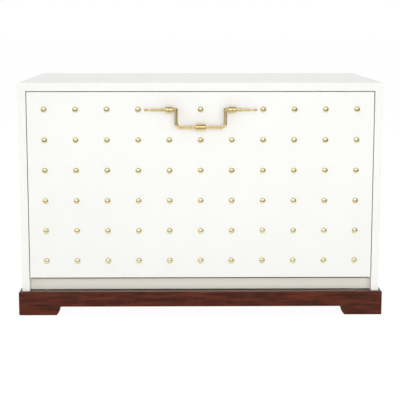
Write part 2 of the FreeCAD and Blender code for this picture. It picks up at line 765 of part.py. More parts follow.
def make_post(side):
    """A post: shank, neck and a collar of two beads, bored for the spindle."""
    sign = SIDES[side]
    body = new_body(f"{side}_handle_post")
    stem = new_sketch(body, "XY_Plane", (f"{sign} * stud_pitch_x", "case_front", "handle_z"))
    draw_line(
        stem,
        [
            ("0", "-handle_stand_off"),
            ("post_neck_radius", "-handle_stand_off"),
            ("post_neck_radius", "0"),
            ("post_shank_radius", "0"),
            ("post_shank_radius", "fall_thickness + nut_thickness + moving_gap"),
            ("0", "fall_thickness + nut_thickness + moving_gap"),
        ],
    )
    turn(body, stem, "V_Axis")
    collar = new_sketch(body, "XZ_Plane", (f"{sign} * stud_pitch_x", "handle_y", "handle_z"))
    half = "post_collar_length / 2"
    draw_line(
        collar,
        [
            (f"-{half}", "0"),
            (f"-{half}", "post_collar_radius"),
            ("-post_groove_half", "post_collar_radius"),
            ("-post_groove_half", "post_groove_radius"),
            ("post_groove_half", "post_groove_radius"),
            ("post_groove_half", "post_collar_radius"),
            (half, "post_collar_radius"),
            (half, "0"),
        ],
    )
    turn(body, collar, "H_Axis")
    bore = new_sketch(body, "YZ_Plane", (f"{sign} * stud_pitch_x - {half}", "handle_y", "handle_z"))
    draw_circle(bore, "0", "0", "spindle_radius + running_clearance")
    pocket(body, bore, "post_collar_length", along=True)
    return keep(body, f"{side}_handle_post")


def make_nuts():
    """The hexagon nuts on the shanks, tight against the inner face of the fall."""
    body = new_body("handle_nuts")
    for sign in SIDES.values():
        sketch = new_sketch(body, "XZ_Plane", (f"{sign} * stud_pitch_x", "fall_back", "handle_z"))
        draw_polygon(sketch, 6, "nut_flat_radius")
        draw_circle(sketch, "0", "0", "post_shank_radius")
        pad(body, sketch, "nut_thickness", reverse=True)
    return keep(body, "handle_nuts")


def make_spindle(side):
    """A spindle: tenon in the bail, journal in the collar, tapered shoulder, long rod and finial."""
    sign = SIDES[side]
    body = new_body(f"{side}_spindle")
    sketch = new_sketch(body, "XZ_Plane", (0, "handle_y", "handle_z"))
    tenon = "arm_x + bail_radius - spindle_tenon_length"
    steps = [
        (tenon, "0"),
        (tenon, "spindle_radius"),
        ("collar_far + moving_gap", "spindle_radius"),
        ("collar_far + moving_gap", "spindle_shoulder_radius"),
        ("collar_far + moving_gap + spindle_waist_length", "spindle_rod_radius"),
        ("spindle_reach", "spindle_rod_radius"),
        ("spindle_reach + finial_length / 3", "finial_radius"),
        ("spindle_reach + finial_length", "0"),
    ]
    draw_line(sketch, [(f"{sign} * ({along})", radius) for along, radius in steps])
    turn(body, sketch, "H_Axis")
    return keep(body, f"{side}_spindle")


def draw_bar_section(sketch):
    """The eight-sided section of the bail's bar."""
    draw_polygon(sketch, BAIL_SIDES, f"bail_radius / cos({180 / BAIL_SIDES})")


def make_grip():
    """The grip collar in the middle of the bar: a drum between two flanges."""
    body = new_body("grip_collar")
    sketch = new_sketch(body, "XZ_Plane", (0, "handle_y", "handle_z - bail_drop"))
    half = "grip_length / 2"
    draw_line(
        sketch,
        [
            (f"-{half}", "0"),
            (f"-{half}", "grip_radius"),
            (f"-{half} + grip_flange_width", "grip_radius"),
            (f"-{half} + grip_flange_width", "grip_drum_radius"),
            (f"{half} - grip_flange_width", "grip_drum_radius"),
            (f"{half} - grip_flange_width", "grip_radius"),
            (half, "grip_radius"),
            (half, "0"),
        ],
    )
    turn(body, sketch, "H_Axis")
    bore = new_sketch(body, "YZ_Plane", (f"-{half}", "handle_y", "handle_z - bail_drop"))
    draw_bar_section(bore)
    pocket(body, bore, "grip_length", along=True)
    return keep(body, "grip_collar")


def make_bail(spindles):
    """The bail: an eight-sided bar bent twice, with a spindle in the head of each arm."""
    body = new_body("bail_bar")
    path = new_sketch(body, "XZ_Plane", (0, "handle_y", "handle_z"))
    draw_line(
        path,
        [
            ("-arm_x", "bail_head"),
            ("-arm_x", "-bail_drop + bail_bend", "bail_bend"),
            ("-arm_x + bail_bend", "-bail_drop"),
            ("arm_x - bail_bend", "-bail_drop", "bail_bend"),
            ("arm_x", "-bail_drop + bail_bend"),
            ("arm_x", "bail_head"),
        ],
        closed=False,
    )
    section = new_sketch(body, "XY_Plane", ("-arm_x", "handle_y", "handle_z + bail_head"))
    draw_bar_section(section)
    doc.recompute()
    bar = body.newObject("PartDesign::AdditivePipe", "Pipe")
    bar.Profile = section
    bar.Spine = (path, [f"Edge{index}" for index in range(1, 6)])
    return keep(carve("bail", body, spindles), "bail")


# Fall: the lacquered panel, its studs and what is let into it.


def make_studs():
    """The domed nails in rows and columns, each a head on a square shank, but none where the posts are."""
    body = new_body("front_studs")
    rim = new_sketch(body, "XZ_Plane", ("stud_first_x", "case_front", "stud_top_z"))
    draw_polygon(rim, STUD_SIDES, "stud_radius")
    pad(body, rim, "stud_rise")
    slope = f"atan((stud_radius - stud_crown_radius) * cos({180 / STUD_SIDES}) / stud_rise)"
    slope_sides(body, slope, lambda point: near(point.y, "case_front"))
    square = new_sketch(body, "XZ_Plane", ("stud_first_x", "case_front", "stud_top_z"))
    draw_rectangle(square, ("-stud_shank / 2", "-stud_shank / 2"), ("stud_shank / 2", "stud_shank / 2"))
    pad(body, square, "stud_shank_length", reverse=True)
    repeat(body, None, "X_Axis", "stud_pitch_x", "stud_columns")
    repeat(body, None, "Z_Axis", "stud_pitch_z", "stud_rows").Reversed = True
    posts = new_sketch(body, "XZ_Plane", (0, "case_front - stud_rise", "stud_top_z"))
    for sign in SIDES.values():
        draw_circle(posts, f"{sign} * stud_pitch_x", "0", "stud_radius + moving_gap")
    body.Tip = pocket(body, posts, "stud_rise + stud_shank_length")
    return keep(body, "front_studs")


def make_strikes():
    """The steel plates that the magnets hold, let into the back of the fall."""
    body = new_body("strike_plates")
    draw_pair(body, "fall_back - strike_thickness", "strike_width", "strike_height", "strike_thickness")
    return keep(body, "strike_plates")


def make_fall(inlaid):
    """The fall's panel, rebated over the hinge barrel and cut for what it carries."""
    body = new_body("fall_board")
    sketch = new_sketch(body, "YZ_Plane", ("-fall_half", 0, 0))
    draw_line(
        sketch,
        [
            ("case_front", "fall_bottom"),
            ("case_front", "fall_top"),
            ("fall_back", "fall_top"),
            ("fall_back", "hinge_z + barrel_room"),
            ("fall_back - barrel_room", "hinge_z + barrel_room"),
            ("fall_back - barrel_room", "fall_bottom"),
        ],
    )
    pad(body, sketch, "2 * fall_half")
    round_edges(body, "fall_arris", lambda point: near(point.y, "case_front"))
    return keep(carve("fall_panel", body, inlaid), "fall_panel")


def check_document():
    """Stop unless every object is up to date and every sub-part is a valid shape."""
    for item in doc.Objects:
        if "Invalid" in item.State or "Error" in item.State:
            raise RuntimeError(f"{item.Label} failed: {item.State}")
    for item in nodes:
        if item.Shape.isNull() or not item.Shape.isValid():
            raise RuntimeError(f"{item.Label} has no valid shape")


def main():
    """Build every sub-part, check the document and write the parts."""
    make_top()
    for side in SIDES:
        make_side(side)
    make_floor()
    make_back()
    make_front_rail()
    make_stop_rail(make_catches())
    make_shelf()
    for side in SIDES:
        make_cleat(side)
    make_plinth()
    make_hinge()
    stays = [make_stay(side) for side in SIDES]
    for side in SIDES:
        make_guide(side)
    posts = [make_post(side) for side in SIDES]
    make_nuts()
    make_bail([make_spindle(side) for side in SIDES])
    make_grip()
    make_fall(stays + posts + [make_studs(), make_strikes()])
    doc.recompute()
    check_document()
    os.makedirs("parts", exist_ok=True)
    for item in nodes:
        item.Shape.exportStep(f"parts/{item.Label}.step")
        print(f"{item.Label}: {len(item.Shape.Solids)} solids, {item.Shape.Volume:.1f} mm3")


main()
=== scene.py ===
"""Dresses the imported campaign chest: materials, turned brass, nails, hinge and screws, in metres."""

import math

import bmesh
import bpy
import numpy as np
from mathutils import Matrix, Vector


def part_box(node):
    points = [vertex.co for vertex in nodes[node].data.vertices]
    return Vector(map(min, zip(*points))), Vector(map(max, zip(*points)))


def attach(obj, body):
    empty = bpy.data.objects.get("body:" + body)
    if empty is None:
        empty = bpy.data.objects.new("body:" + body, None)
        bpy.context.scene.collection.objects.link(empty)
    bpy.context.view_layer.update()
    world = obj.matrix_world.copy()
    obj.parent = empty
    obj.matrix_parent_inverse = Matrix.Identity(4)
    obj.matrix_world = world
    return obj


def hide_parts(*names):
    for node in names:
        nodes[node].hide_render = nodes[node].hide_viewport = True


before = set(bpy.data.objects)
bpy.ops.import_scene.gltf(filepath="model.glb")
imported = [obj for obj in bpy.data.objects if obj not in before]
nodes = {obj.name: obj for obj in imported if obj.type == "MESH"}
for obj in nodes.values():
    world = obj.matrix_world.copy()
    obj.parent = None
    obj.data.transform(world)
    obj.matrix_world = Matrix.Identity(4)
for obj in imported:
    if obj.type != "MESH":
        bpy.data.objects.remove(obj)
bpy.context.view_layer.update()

scene = bpy.context.scene
MM = 0.001


# Studio: a plain white floor that runs on out of sight, an even pale room, and soft lamps in front. What
# shines sees the room dimmer overhead, at its ends and on part of the floor, so that brass gets dark edges.

WHITE = "#FFFFFF"
SEEN_RAYS = ("Is Camera Ray", "Is Transmission Ray")
ROOM_LOW, ROOM_HIGH, ROOM_RISE = 0.25, 0.6, 0.2
MIRRORED_LEAST = 0.08
# Each dimming of the room in what shines: an axis of the heading, where it starts and is full along that
# axis, the heights that it comes in between, and its depth, less than nothing where it brightens.
ROOM_DIMS = (
    ("X", 0.4, 0.8, 0.9, 0.6, 0.88),
    ("X", -0.5, -0.9, 0.9, 0.6, 0.45),
    ("Y", -0.1, 0.35, 0.2, 0.55, 0.8),
    ("Y", -0.55, -0.3, 0.6, 0.85, 0.82),
    ("Y", -0.45, -0.7, 0.12, 0.3, -0.6),
)


def linear(code):
    """A colour written as sRGB hex, turned into the linear values that shaders take."""
    share = np.array([int(code[place:place + 2], 16) for place in (1, 3, 5)]) / 255
    curve = np.where(share <= 0.04045, share / 12.92, ((share + 0.055) / 1.055) ** 2.4)
    return (*curve.tolist(), 1.0)


def add(tree, kind, inputs=None, out=0, **settings):
    """A new node with its settings. Its inputs, by name or number, are plain values or other nodes' outputs,
    and it gives back the output that is asked for. Map Range takes the value at 0 from the range 1 to 2 to
    the range 3 to 4, and Mix blends the numbers at 2 and 3, or the colours at 6 and 7, by the share at 0."""
    node = tree.nodes.new("ShaderNode" + kind)
    for name, value in settings.items():
        setattr(node, name, value)
    for name, value in (inputs or {}).items():
        if isinstance(value, bpy.types.NodeSocket):
            tree.links.new(value, node.inputs[name])
        else:
            node.inputs[name].default_value = value
    return node.outputs[out] if node.outputs else None


room = bpy.data.worlds.new("studio_room")
room.use_nodes = True
tree = room.node_tree
tree.nodes.clear()
heading = add(tree, "TexCoord", out="Generated")
heading = {axis: add(tree, "SeparateXYZ", {0: heading}, out=axis) for axis in "XYZ"}
mirrored = 1.0
for axis, start, end, height_start, height_end, depth in ROOM_DIMS:
    across = add(tree, "MapRange", {0: heading[axis], 1: start, 2: end})
    upright = add(tree, "MapRange", {0: heading["Z"], 1: height_start, 2: height_end, 4: depth})
    dimming = add(tree, "Math", {0: across, 1: upright}, operation="MULTIPLY")
    mirrored = add(tree, "Math", {0: mirrored, 1: dimming}, operation="SUBTRACT")
mirrored = add(tree, "Math", {0: mirrored, 1: MIRRORED_LEAST}, operation="MAXIMUM")
lighting = add(tree, "MapRange", {0: heading["Z"], 1: ROOM_RISE, 3: ROOM_LOW, 4: ROOM_HIGH})
level = add(tree, "Mix", {0: add(tree, "LightPath", out="Is Glossy Ray"), 2: lighting, 3: mirrored})
for ray in SEEN_RAYS:
    level = add(tree, "Mix", {0: add(tree, "LightPath", out=ray), 2: level, 3: 1.0})
glow = add(tree, "Background", {"Color": linear(WHITE), "Strength": level})
add(tree, "OutputWorld", {"Surface": glow})
room.cycles.sampling_method = "NONE"
scene.world = room

FLOOR_COLOUR = "#F2F2F0"
FLOOR_HALF = 40.0
FLOOR_SHOWN_WHITE = 0.93
FLOOR_GLOW = 1.04
# Under the chest the floor stays matt and shaded: the middle and half of that patch in x and y, and its edge.
UNDERSIDE_MIDDLE, UNDERSIDE_HALF, UNDERSIDE_FADE = (0.0, 0.035), (0.445, 0.162), 0.013
# Each dimming of the floor in what shines: an axis, where it starts and is full along it, and its depth.
FLOOR_DIMS = (
    ("X", 0.9, 1.7, 0.62),
    ("X", -0.9, -1.7, 0.3),
    ("Y", -2.0, -3.0, 0.22),
    ("Y", -0.6, -0.8, 0.85),
    ("Y", -1.25, -1.6, -0.85),
)

backdrop = bpy.data.materials.new("white_studio_floor")
backdrop.use_nodes = True
tree = backdrop.node_tree
tree.nodes.clear()
glossy = add(tree, "LightPath", out="Is Glossy Ray")
seen = glossy
for ray in SEEN_RAYS:
    seen = add(tree, "Math", {0: seen, 1: add(tree, "LightPath", out=ray)}, operation="MAXIMUM")
spot = add(tree, "TexCoord", out="Object")
spot = {axis: add(tree, "SeparateXYZ", {0: spot}, out=axis) for axis in "XYZ"}
outside = []
for axis, middle, half in zip("XY", UNDERSIDE_MIDDLE, UNDERSIDE_HALF):
    offset = add(tree, "Math", {0: spot[axis], 1: middle}, operation="SUBTRACT")
    offset = add(tree, "Math", {0: offset}, operation="ABSOLUTE")
    outside.append(add(tree, "Math", {0: offset, 1: half}, operation="SUBTRACT"))
outside = add(tree, "Math", dict(enumerate(outside)), operation="MAXIMUM")
open_floor = add(tree, "MapRange", {0: outside, 2: UNDERSIDE_FADE, 4: FLOOR_SHOWN_WHITE})
shown = 1.0
for axis, start, end, depth in FLOOR_DIMS:
    dimming = add(tree, "MapRange", {0: spot[axis], 1: start, 2: end, 4: depth})
    shown = add(tree, "Math", {0: shown, 1: dimming}, operation="SUBTRACT")
shown = add(tree, "Math", {0: shown, 1: MIRRORED_LEAST}, operation="MAXIMUM")
shown = add(tree, "Mix", {0: glossy, 2: 1.0, 3: shown})
shown = add(tree, "Math", {0: shown, 1: FLOOR_GLOW}, operation="MULTIPLY")
matt = add(tree, "BsdfDiffuse", {"Color": linear(FLOOR_COLOUR)})
white = add(tree, "Emission", {"Color": linear(WHITE), "Strength": shown})
white_share = add(tree, "Math", {0: seen, 1: open_floor}, operation="MULTIPLY")
add(tree, "OutputMaterial", {"Surface": add(tree, "MixShader", {0: white_share, 1: matt, 2: white})})

floor_mesh = bpy.data.meshes.new("studio_floor")
floor_corners = [(x * FLOOR_HALF, y * FLOOR_HALF, 0.0) for x, y in ((-1, -1), (1, -1), (1, 1), (-1, 1))]
floor_mesh.from_pydata(floor_corners, [], [(0, 1, 2, 3)])
floor_mesh.materials.append(backdrop)
studio_floor = bpy.data.objects.new("studio_floor", floor_mesh)
scene.collection.objects.link(studio_floor)

# Each lamp: its place, its width and height, and its power in watts. All of them face the chest's middle.
CHEST_MIDDLE = Vector((0.0, -0.1, 0.3))
LAMPS = {
    "key_softbox": ((0.7, -3.2, 1.7), (2.2, 1.8), 17.0),
    "fill_softbox": ((-2.3, -2.4, 1.1), (2.0, 1.8), 9.5),
    "front_strip": ((0.3, -3.1, 1.1), (3.0, 0.3), 16.8),
    "low_strip": ((0.3, -3.1, 0.15), (3.0, 0.2), 12.0),
    "overhead_softbox": ((0.0, 0.2, 3.2), (2.4, 1.8), 26.2),
    "right_softbox": ((3.6, 0.3, 1.2), (2.0, 1.8), 18.5),
    "left_softbox": ((-3.6, 0.3, 1.2), (2.0, 1.8), 20.0),
    "back_softbox": ((0.4, 3.6, 1.2), (2.2, 1.8), 16.0),
}
for name, (place, size, power) in LAMPS.items():
    lamp = bpy.data.lights.new(name, "AREA")
    lamp.shape = "RECTANGLE"
    lamp.size, lamp.size_y = size
    lamp.energy = power
    holder = bpy.data.objects.new(name, lamp)
    holder.location = place
    holder.rotation_euler = (holder.location - CHEST_MIDDLE).to_track_quat("Z", "Y").to_euler()
    holder.visible_glossy = False
    scene.collection.objects.link(holder)

# The lens and the sensor's width in mm, the shift as a share of that width, and the angles in degrees.
CAMERA_LENS, CAMERA_SENSOR, CAMERA_SHIFT = 89.1, 36.0, -0.12
CAMERA_PLACE, CAMERA_TILT, CAMERA_TURN = (-0.0262, -2.6895, 0.7484), 82.472, -0.571

eye = bpy.data.cameras.new("camera")
eye.lens, eye.sensor_width, eye.shift_y = CAMERA_LENS, CAMERA_SENSOR, CAMERA_SHIFT
camera = bpy.data.objects.new("camera", eye)
camera.location = CAMERA_PLACE
camera.rotation_euler = (math.radians(CAMERA_TILT), 0.0, math.radians(CAMERA_TURN))
scene.collection.objects.link(camera)
scene.camera = camera
scene.view_settings.view_transform = "Standard"


# Plinth: four mahogany boards with bracket feet, mitred at the corners, cut from the solid and rounded over.
# Mahogany under a dark stain and satin polish: long fine pores, soft ribbon figure and a quiet shine. The
# pores are drawn wider than real ones, so that they show.

X, Y, Z = 0, 1, 2
MAHOGANY_DARK, MAHOGANY_BODY, MAHOGANY_LIGHT = "#33110A", "#4A1D0D", "#6B2E16"
PORE_COLOUR = "#2A110A"
PLINTH_ROUND = 2.4 * MM
ROUND_STEPS = 4
CUT_CLEAR = 0.02 * MM
MERGE_DISTANCE, SLIVER = 0.001 * MM, 0.0001 * MM
SHARP_ANGLE, FLAT_ANGLE = math.radians(32), math.radians(0.5)
AREA_WEIGHT = 100
CLOUD_STEPS, CLOUD_ROUGHNESS, CLOUD_LOW, CLOUD_HIGH = (0, 2, 5), 0.6, 0.3, 0.7
PLY_WAVE, FACE_LOW, FACE_HIGH = 0.5, 0.4, 0.6


def finish(name, ground, layers, rough, relief, constants, cut_edges=None):
    """A finish on object coordinates. Each layer is cloudy noise with its periods in mm along x, y and z, its
    detail and its place, that reaches its colour from low to high up to a share. rough gives a layer and the
    roughness at its ends, and relief a layer, its height in mm, less than nothing for what is sunk, and its
    strength. cut_edges is the direction in which plies are stacked, their thickness in mm and their glue's
    colour."""
    material = bpy.data.materials.new(name)
    material.use_nodes = True
    tree = material.node_tree
    tree.nodes.clear()
    place = add(tree, "TexCoord", out="Object")
    colour, clouds = linear(ground), []
    for periods, detail, shift, low, high, share, tint in layers:
        steps = [1 / (period * MM) for period in periods]
        shifts = [shift + step for step in CLOUD_STEPS]
        spot = add(tree, "Mapping", {"Vector": place, "Scale": steps, "Location": shifts})
        noise = {"Vector": spot, "Scale": 1.0, "Detail": detail, "Roughness": CLOUD_ROUGHNESS}
        clouds.append(add(tree, "TexNoise", noise))
        amount = add(tree, "MapRange", {0: clouds[-1], 1: low, 2: high, 4: share})
        colour = add(tree, "Mix", {0: amount, 6: colour, 7: linear(tint)}, out=2, data_type="RGBA")
    if cut_edges:
        through, thickness, glue = cut_edges
        depth = add(tree, "SeparateXYZ", {0: place}, out=through)
        depth = add(tree, "Math", {0: depth, 1: math.pi / (thickness * MM)}, operation="MULTIPLY")
        wave = add(tree, "Math", {0: depth}, operation="SINE")
        wave = add(tree, "MapRange", {0: wave, 1: -PLY_WAVE, 2: PLY_WAVE})
        plies = add(tree, "Mix", {0: wave, 6: linear(glue), 7: linear(ground)}, out=2, data_type="RGBA")
        facing = add(tree, "SeparateXYZ", {0: add(tree, "TexCoord", out="Normal")}, out=through)
        facing = add(tree, "Math", {0: facing}, operation="ABSOLUTE")
        flat = add(tree, "MapRange", {0: facing, 1: FACE_LOW, 2: FACE_HIGH})
        colour = add(tree, "Mix", {0: flat, 6: plies, 7: colour}, out=2, data_type="RGBA")
    layer, smooth, dull = rough
    shine = add(tree, "MapRange", {0: clouds[layer], 1: CLOUD_LOW, 2: CLOUD_HIGH, 3: smooth, 4: dull})
    layer, height, strength = relief
    raised = {"Height": clouds[layer], "Distance": abs(height) * MM, "Strength": strength}
    bumps = add(tree, "Bump", raised, invert=height < 0)
    sockets = {"Base Color": colour, "Roughness": shine, "Normal": bumps, **constants}
    add(tree, "OutputMaterial", {"Surface": add(tree, "BsdfPrincipled", sockets)})
    return material


def grain(along, width, length):
    """Periods in mm that are long along the axis of the grain and short across it."""
    return [length if axis == along else width for axis in (X, Y, Z)]


def mahogany(name, along):
    """Stained mahogany with its grain along one axis."""
    layers = [
        (grain(along, 9, 110), 4, 0, 0.4, 0.62, 1.0, MAHOGANY_LIGHT),
        (grain(along, 2.6, 70), 4, 1, 0.35, 0.65, 0.7, MAHOGANY_BODY),
        (grain(along, 60, 34), 2, 3, 0.5, 0.7, 0.3, MAHOGANY_LIGHT),
        (grain(along, 1.5, 22), 2, 9, 0.56, 0.7, 0.75, PORE_COLOUR),
    ]
    polish = {
        "IOR": 1.5,
        "Specular IOR Level": 0.1,
        "Coat Weight": 0.5,
        "Coat IOR": 1.25,
        "Coat Roughness": 0.16,
    }
    return finish(name, MAHOGANY_DARK, layers, (1, 0.28, 0.38), (3, -0.05, 0.3), polish)


def grid_faces(rows, columns, wrap_rows=False):
    """The quads of a grid of points, numbered row by row, that closes round its columns."""
    i, j = np.meshgrid(np.arange(rows if wrap_rows else rows - 1), np.arange(columns), indexing="ij")
    below, beside = (i + 1) % rows, (j + 1) % columns
    quads = [i * columns + j, i * columns + beside, below * columns + beside, below * columns + j]
    return np.stack(quads, axis=-1).reshape(-1, 4)


def rounded_box(low, high, radius):
    """A box with rounded edges: the point of a ball at longitude u and latitude v, moved out to the corner of
    the smaller box that its octant belongs to, with one flat face above and one below."""
    quarter = np.linspace(0, math.pi / 2, ROUND_STEPS)
    u = (quarter + np.arange(4)[:, None] * math.pi / 2).ravel()
    v = np.concatenate([quarter - math.pi / 2, quarter])
    v, u = np.meshgrid(v, u, indexing="ij")
    ball = np.stack([np.cos(v) * np.cos(u), np.cos(v) * np.sin(u), np.sin(v)], axis=-1)
    side = np.empty_like(ball)
    side[..., X] = np.repeat([1, -1, -1, 1], ROUND_STEPS)
    side[..., Y] = np.repeat([1, 1, -1, -1], ROUND_STEPS)
    side[..., Z] = np.repeat([-1, 1], ROUND_STEPS)[:, None]
    low, high = np.array(low) - CUT_CLEAR, np.array(high) + CUT_CLEAR
    points = (low + high) / 2 + side * ((high - low) / 2 - radius) + ball * radius
    columns = np.arange(4) * ROUND_STEPS
    caps = [columns[::-1], columns + (2 * ROUND_STEPS - 1) * 4 * ROUND_STEPS]
    return points.reshape(-1, 3), np.concatenate([grid_faces(2 * ROUND_STEPS, 4 * ROUND_STEPS), caps])


def welded(name, points, faces):
    """A mesh of points and faces whose doubled points are merged and whose faces point outwards."""
    mesh = bpy.data.meshes.new(name)
    mesh.from_pydata(points.tolist(), [], faces.tolist())
    work = bmesh.new()
    work.from_mesh(mesh)
    bmesh.ops.remove_doubles(work, verts=work.verts, dist=MERGE_DISTANCE)
    bmesh.ops.dissolve_degenerate(work, edges=work.edges, dist=SLIVER)
    bmesh.ops.recalc_face_normals(work, faces=work.faces)
    work.to_mesh(mesh)
    work.free()
    return mesh


def place_piece(name, mesh, material, body, slot, *replaced):
    """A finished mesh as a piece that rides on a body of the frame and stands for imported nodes."""
    mesh.shade_smooth()
    mesh.set_sharp_from_angle(angle=SHARP_ANGLE)
    mesh.materials.clear()
    mesh.materials.append(material)
    piece = bpy.data.objects.new(name, mesh)
    scene.collection.objects.link(piece)
    normals = piece.modifiers.new("normals_by_area", "WEIGHTED_NORMAL")
    normals.weight, normals.keep_sharp = AREA_WEIGHT, True
    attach(piece, body)
    if replaced:
        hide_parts(*replaced)
    return piece


def eased_board(name, node, box, radius, material, body, slot):
    """A board whose outer edges are rounded over: what a merged copy of it has in common with a rounded box,
    which is the box of the board itself or of the whole that it belongs to."""
    envelope = bpy.data.objects.new("envelope", welded("envelope", *rounded_box(*box, radius)))
    board = bpy.data.objects.new("board", nodes[node].data.copy())
    work = bmesh.new()
    work.from_mesh(board.data)
    bmesh.ops.remove_doubles(work, verts=work.verts, dist=MERGE_DISTANCE)
    bmesh.ops.dissolve_limit(work, angle_limit=FLAT_ANGLE, verts=work.verts, edges=work.edges)
    work.to_mesh(board.data)
    work.free()
    for item in (envelope, board):
        scene.collection.objects.link(item)
    cut = board.modifiers.new("rounding", "BOOLEAN")
    cut.operation, cut.solver, cut.object = "INTERSECT", "EXACT", envelope
    mesh = bpy.data.meshes.new_from_object(board.evaluated_get(bpy.context.evaluated_depsgraph_get()))
    mesh.name = name
    for item in (envelope, board):
        bpy.data.objects.remove(item)
    return place_piece(name, mesh, material, body, slot, node)


def box_of(*names):
    """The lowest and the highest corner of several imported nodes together."""
    corners = np.array([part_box(name) for name in names])
    return corners[:, 0].min(axis=0), corners[:, 1].max(axis=0)


plinth_box = box_of("plinth_front", "plinth_back", "plinth_left", "plinth_right")
long_mahogany = mahogany("mahogany_long_boards", along=X)
side_mahogany = mahogany("mahogany_side_boards", along=Y)
plinth_boards = {"front": long_mahogany, "back": long_mahogany, "left": side_mahogany, "right": side_mahogany}
for side, material in plinth_boards.items():
    name, node = f"mahogany_{side}_board", f"plinth_{side}"
    eased_board(name, node, plinth_box, PLINTH_ROUND, material, "case", "mahogany")


# Case: top and sides of board, mitred and rounded over, under white satin lacquer with a faint orange peel.
# The same lacquer covers the stop rail and the fall. On the rail under the fall it is painted a little
# lighter and warmer, as painted light and painted warm bounce light in the shade of that recess.

LACQUER, LACQUER_WARM = "#F7F7F5", "#F5F5F2"
# Painted light: a lighter, warmer white for the rail under the fall, standing in for light its shaded recess
# lacks.
RAIL_LACQUER_PAINTED_LIGHT, RAIL_WARM_PAINTED_LIGHT = "#FEF9EF", "#FCF7EB"
CASE_ROUND, FALL_ROUND = 1.6 * MM, 1.4 * MM
CASE_BOARDS = {
    "lacquered_top": "case_top",
    "lacquered_left_side": "left_side",
    "lacquered_right_side": "right_side",
}


def satin_lacquer(name, white, warm):
    """Sprayed white lacquer, toned in wide soft clouds, with a fine orange peel."""
    layers = [
        ((170, 170, 170), 3, 0, 0.4, 0.7, 1.0, warm),
        ((60, 60, 60), 4, 4, 0.4, 0.8, 0.3, warm),
        ((2.2, 2.2, 2.2), 2, 1, 0.5, 0.9, 0.2, warm),
    ]
    satin = {"IOR": 1.5, "Coat Weight": 0.2, "Coat Roughness": 0.25}
    return finish(name, white, layers, (1, 0.3, 0.38), (2, 0.02, 0.35), satin)


lacquer = satin_lacquer("white_satin_lacquer", LACQUER, LACQUER_WARM)
case_box, fall_box = box_of(*CASE_BOARDS.values()), box_of("fall_panel")
for name, node in CASE_BOARDS.items():
    eased_board(name, node, case_box, CASE_ROUND, lacquer, "case", "white_lacquer")
eased_board("lacquered_fall", "fall_panel", fall_box, FALL_ROUND, lacquer, "fall", "white_lacquer")


def dress(material, *names):
    """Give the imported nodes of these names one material."""
    for name in names:
        nodes[name].data.materials.clear()
        nodes[name].data.materials.append(material)


dress(lacquer, "stop_rail")
# The rail under the fall gets the lighter, warmer lacquer, which is painted light for its shaded recess.
dress(satin_lacquer("rail_lacquer_painted_light", RAIL_LACQUER_PAINTED_LIGHT, RAIL_WARM_PAINTED_LIGHT), "front_rail")


# Inside: floor, back, shelf and its cleats in birch plywood under matt lacquer, and softwood glue blocks.
# The faces show pale wavy figure, and every cut edge shows the plies as fine light and dark lines. The blocks
# are plain pine, dull and soft in figure, painted a darker brown than pine as painted shade for the dark slot
# between rail and plinth that they sit in.

BIRCH_LIGHT, BIRCH_DARK, BIRCH_GLUE = "#DFC79E", "#CBAC79", "#9A7346"
PLY_THICKNESS = 1.4
SHELF_ROUND = 1.2 * MM
# Both browns are darker than pine: painted shade for the blocks in the dark slot under the rail.
SOFTWOOD_PAINTED_SHADE, SOFTWOOD_PAINTED_SHADE_DEEP = "#66503A", "#4C3A29"


def birch_plywood(name, through):
    """Birch plywood whose plies are stacked along one axis."""
    along = Y if through == X else X
    layers = [
        (grain(along, 14, 260), 5, 0, 0.35, 0.7, 0.85, BIRCH_DARK),
        (grain(along, 5, 160), 4, 3, 0.5, 0.75, 0.5, BIRCH_DARK),
        (grain(along, 2.6, 36), 3, 2, 0.52, 0.8, 0.35, BIRCH_GLUE),
    ]
    matt_lacquer = {"IOR": 1.5, "Specular IOR Level": 0.35}
    plies = (through, PLY_THICKNESS, BIRCH_GLUE)
    return finish(name, BIRCH_LIGHT, layers, (1, 0.5, 0.62), (2, -0.03, 0.25), matt_lacquer, plies)


level_birch = birch_plywood("birch_plywood_level", through=Z)
dress(level_birch, "case_floor")
eased_board("birch_shelf", "shelf", box_of("shelf"), SHELF_ROUND, level_birch, "case", "birch_plywood")
dress(birch_plywood("birch_plywood_back", through=Y), "back_panel")
dress(birch_plywood("birch_plywood_cleats", through=X), "left_shelf_cleat", "right_shelf_cleat")

# The glue blocks in a darker brown than pine, as painted shade.
softwood = finish(
    "softwood_blocks_painted_shade",
    SOFTWOOD_PAINTED_SHADE,
    [(grain(Z, 5, 160), 3, 0, 0.35, 0.65, 1.0, SOFTWOOD_PAINTED_SHADE_DEEP)],
    (0, 0.6, 0.75),
    (0, 0.04, 0.3),
    {"IOR": 1.5, "Specular IOR Level": 0.25},
)
dress(softwood, "plinth_corner_blocks")


# Hinge and stays: sheet brass, brushed along its length and left to tone down a little. The long hinge lies
# under the fall, and each quadrant stay slides through a staple on its side. The hinge's leaves and their
# screws are painted a near-black brown, as painted shade for the dark gap under the fall. The brush lines are
# drawn coarser than real ones, so that they show.

SHEET_BRASS, SHEET_BRASS_TONED = "#C4A66C", "#9C804A"
# Near-black brown for the hinge leaves: painted shade for the dark gap under the fall, not the brass's own
# colour.
HINGE_BRASS_PAINTED_SHADE, HINGE_BRASS_PAINTED_SHADE_DEEP = "#3E3120", "#281E13"


def brushed_brass(name, body, toned):
    """Sheet brass with fine brush lines along x, toned in soft clouds."""
    layers = [
        ((22, 22, 22), 4, 5, 0.4, 0.7, 1.0, toned),
        (grain(X, 1.4, 90), 3, 0, 0.5, 0.8, 0.3, toned),
    ]
    return finish(name, body, layers, (1, 0.28, 0.42), (1, 0.02, 0.3), {"Metallic": 1.0})


sheet_brass = brushed_brass("brushed_sheet_brass", SHEET_BRASS, SHEET_BRASS_TONED)
dress(sheet_brass, "left_stay", "right_stay", "left_stay_guide", "right_stay_guide")
